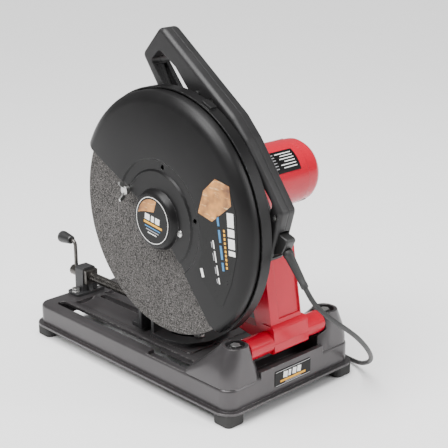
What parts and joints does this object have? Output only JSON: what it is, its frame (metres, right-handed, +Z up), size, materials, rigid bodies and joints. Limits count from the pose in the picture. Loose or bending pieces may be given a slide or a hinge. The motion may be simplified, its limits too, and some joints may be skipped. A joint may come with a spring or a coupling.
{
  "type": "abrasive chop saw",
  "caption": "Abrasive chop saw: a guarded cut-off wheel on a spring-raised pivoting head with motor and trigger handle, over a pressed steel base with screw vise and swivelling fence.",
  "frame": {"origin": "centre of the base, on the surface the four feet stand on", "axes": "+X towards the wheel side (the operator's right), +Y towards the rear where the head pivots, +Z up"},
  "size_m": [0.384, 0.6157, 0.5386],
  "materials": {
    "base_paint": "satin grey paint",
    "guard_paint": "satin near-black paint",
    "red_paint": "gloss red paint over cast aluminium",
    "black_paint": "satin black paint",
    "handle_plastic": "fine-grained dark grey plastic",
    "black_plastic": "black plastic",
    "foot_rubber": "matt black rubber",
    "cord_rubber": "smooth black rubber",
    "zinc_steel": "zinc-plated steel",
    "dark_steel": "oiled dark steel",
    "bearing_steel": "ground steel",
    "laminations": "stacked steel sheets",
    "copper": "copper",
    "pin_brass": "bright brass",
    "carbon": "carbon",
    "grit": "resin-bonded abrasive grit",
    "plate_foil": "printed film",
    "cast_alloy": "cast aluminium"
  },
  "bodies": {
    "base": {"base_shell": "base_paint", "rubber_feet": "foot_rubber", "foot_screws": "zinc_steel", "rear_label": "plate_foil", "pivot_shaft": "bearing_steel", "pivot_clamp_bolts": "zinc_steel", "depth_stop_bolt": "dark_steel", "vise_bracket": "black_paint", "bracket_bolts": "zinc_steel", "vise_nut": "dark_steel", "fence_bolts": "zinc_steel", "cord": "cord_rubber", "cord_coil": "cord_rubber", "plug": "cord_rubber", "plug_pins": "pin_brass"},
    "fence": {"fence": "black_paint"},
    "vise_jaw": {"vise_jaw": "black_paint"},
    "vise_screw": {"vise_screw": "dark_steel", "crank_rod": "dark_steel", "crank_grip": "black_plastic"},
    "head": {"arm": "red_paint", "motor_housing": "red_paint", "motor_end_cover": "red_paint", "field_stator": "laminations", "brush_holders": "pin_brass", "carbon_brushes": "carbon", "brush_caps": "black_plastic", "motor_plate": "plate_foil", "spindle_bearings": "bearing_steel", "motor_bearings": "bearing_steel", "pivot_bushings": "pin_brass", "gear_case_cover": "cast_alloy", "fixed_guard": "guard_paint", "guard_screws": "zinc_steel", "handle_near_half": "handle_plastic", "handle_far_half": "handle_plastic", "handle_screws": "zinc_steel", "switch_body": "black_plastic", "cable_clamp": "black_plastic", "strain_relief": "cord_rubber", "return_spring": "bearing_steel"},
    "wheel_cover": {"front_cover": "guard_paint", "cover_screw": "zinc_steel", "cover_labels": "plate_foil"},
    "wing_bolt": {"wing_bolt": "zinc_steel"},
    "spindle": {"spindle": "bearing_steel", "driven_gear": "dark_steel", "inner_flange": "dark_steel", "outer_flange": "dark_steel", "arbor_bolt": "zinc_steel", "abrasive_wheel": "grit"},
    "armature": {"armature_shaft": "bearing_steel", "armature_core": "laminations", "commutator": "copper", "cooling_fan": "black_plastic"},
    "trigger": {"trigger": "black_plastic"},
    "lock_on_button": {"lock_on_button": "black_plastic"},
    "spindle_lock_pin": {"spindle_lock_pin": "dark_steel"}
  },
  "joints": [
    {"name": "head_hinge", "type": "hinge", "parent": "base", "child": "head", "pos_m": [0, 0.2095, 0.096], "axis": [1, 0, 0], "range_deg": [0, 27], "stiffness_Nm_per_rad": 18, "springref_deg": -42.97},
    {"name": "fence_swivel", "type": "hinge", "parent": "base", "child": "fence", "pos_m": [0.005, 0.03, 0.0585], "axis": [0, 0, 1], "range_deg": [0, 45]},
    {"name": "jaw_slide", "type": "slide", "parent": "base", "child": "vise_jaw", "axis": [0, 1, 0], "range_m": [-0.11, 0]},
    {"name": "screw_turn", "type": "hinge", "parent": "vise_jaw", "child": "vise_screw", "pos_m": [0.042, 0, 0.088], "axis": [0, 1, 0], "range_deg": [-9900, 0]},
    {"name": "cover_swing", "type": "hinge", "parent": "head", "child": "wheel_cover", "pos_m": [0.118, 0.072, 0.2725], "axis": [1, 0, 0], "range_deg": [-60, 0]},
    {"name": "wing_bolt_turn", "type": "hinge", "parent": "wheel_cover", "child": "wing_bolt", "pos_m": [0.118, 0.005, 0.303], "axis": [1, 0, 0], "range_deg": [0, 720]},
    {"name": "spindle_spin", "type": "hinge", "parent": "head", "child": "spindle", "pos_m": [0.1, 0.072, 0.2725], "axis": [1, 0, 0], "continuous": true},
    {"name": "armature_spin", "type": "hinge", "parent": "head", "child": "armature", "pos_m": [0, 0.11552, 0.30774], "axis": [1, 0, 0], "continuous": true},
    {"name": "trigger_pull", "type": "hinge", "parent": "head", "child": "trigger", "pos_m": [0.0515, 0.066, 0.482], "axis": [1, 0, 0], "range_deg": [0, 8], "stiffness_Nm_per_rad": 1, "springref_deg": -14.32},
    {"name": "lock_push", "type": "slide", "parent": "head", "child": "lock_on_button", "axis": [-1, 0, 0], "range_m": [0, 0.0025], "stiffness_N_per_m": 400, "springref_m": -0.003},
    {"name": "lock_pin_push", "type": "slide", "parent": "head", "child": "spindle_lock_pin", "axis": [0, 0, -1], "range_m": [0, 0.0025], "stiffness_N_per_m": 600, "springref_m": -0.003}
  ],
  "couplings": [
    {"joint": "jaw_slide", "follows": "screw_turn", "m_per_rad": 0.00063662},
    {"joint": "armature_spin", "follows": "spindle_spin", "ratio": -4.0909}
  ]
}
